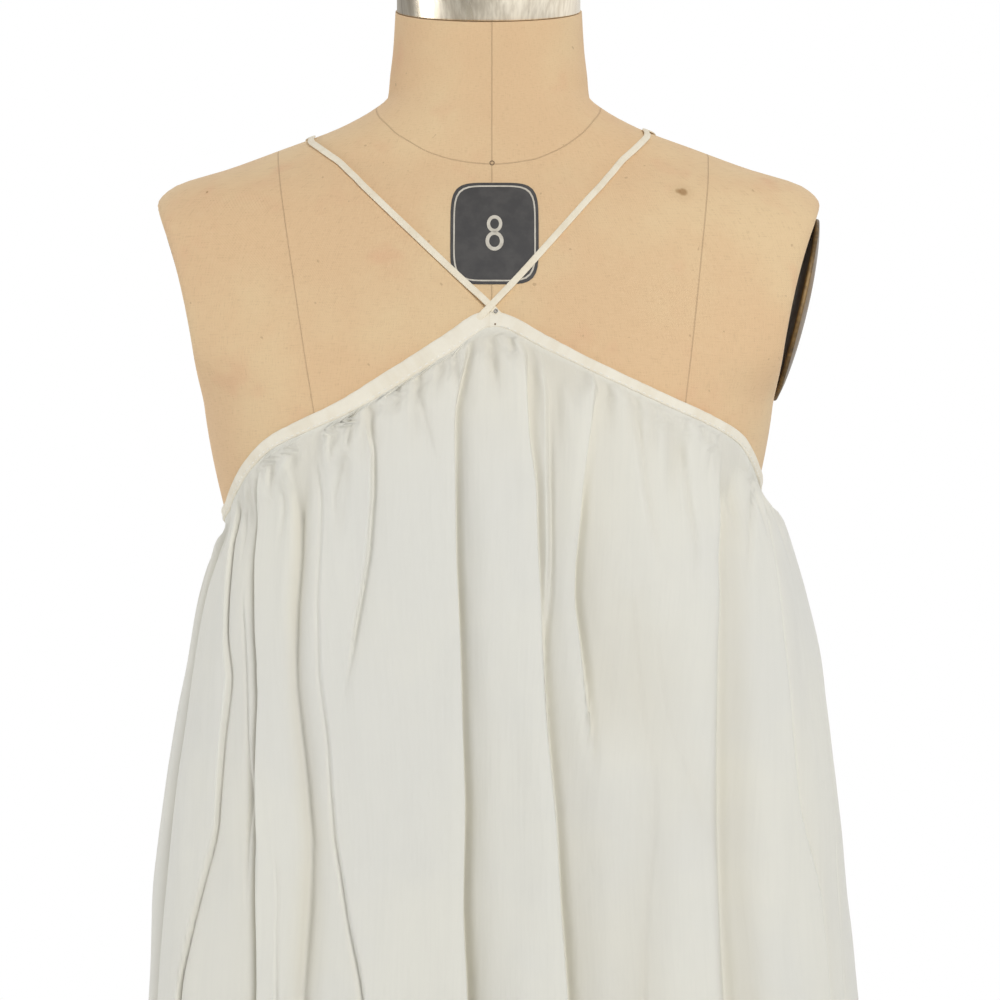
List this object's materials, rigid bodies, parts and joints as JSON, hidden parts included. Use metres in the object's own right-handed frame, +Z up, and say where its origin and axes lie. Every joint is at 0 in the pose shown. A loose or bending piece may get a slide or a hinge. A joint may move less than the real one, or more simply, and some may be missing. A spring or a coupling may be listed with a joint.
{
  "type": "halter dress on a dress form",
  "caption": "Sleeveless cotton halter tent dress, gathered to narrow neck bindings with thin straps crossed in front, on a linen-covered dress form on a round-based stand.",
  "frame": {"origin": "centre of the stand base's flat underside, which rests on the floor", "axes": "+Z up along the pole towards the neck cap; the front of the dress faces -Y, and +X is the viewer's right"},
  "size_m": [0.4822, 0.43, 1.4947],
  "materials": {
    "cotton": "matt, finely woven ivory cotton",
    "binding": "matt cream bias strip, edge stitched",
    "linen": "matt tan linen, woven, lightly stained",
    "cap_metal": "brushed",
    "plate_metal": "dark brown-black, satin",
    "pole_metal": "satin steel tube",
    "base_iron": "black enamelled casting"
  },
  "bodies": {
    "root": {"dress_front": "cotton", "dress_back": "cotton", "binding_front_left": "binding", "binding_front_right": "binding", "binding_back": "binding", "strap_left": "binding", "strap_right": "binding", "form_torso": "linen", "form_neck_cap": "cap_metal", "arm_plate_left": "plate_metal", "arm_plate_right": "plate_metal", "stand_pole": "pole_metal", "stand_hub": "base_iron", "stand_base": "base_iron"}
  },
  "joints": []
}
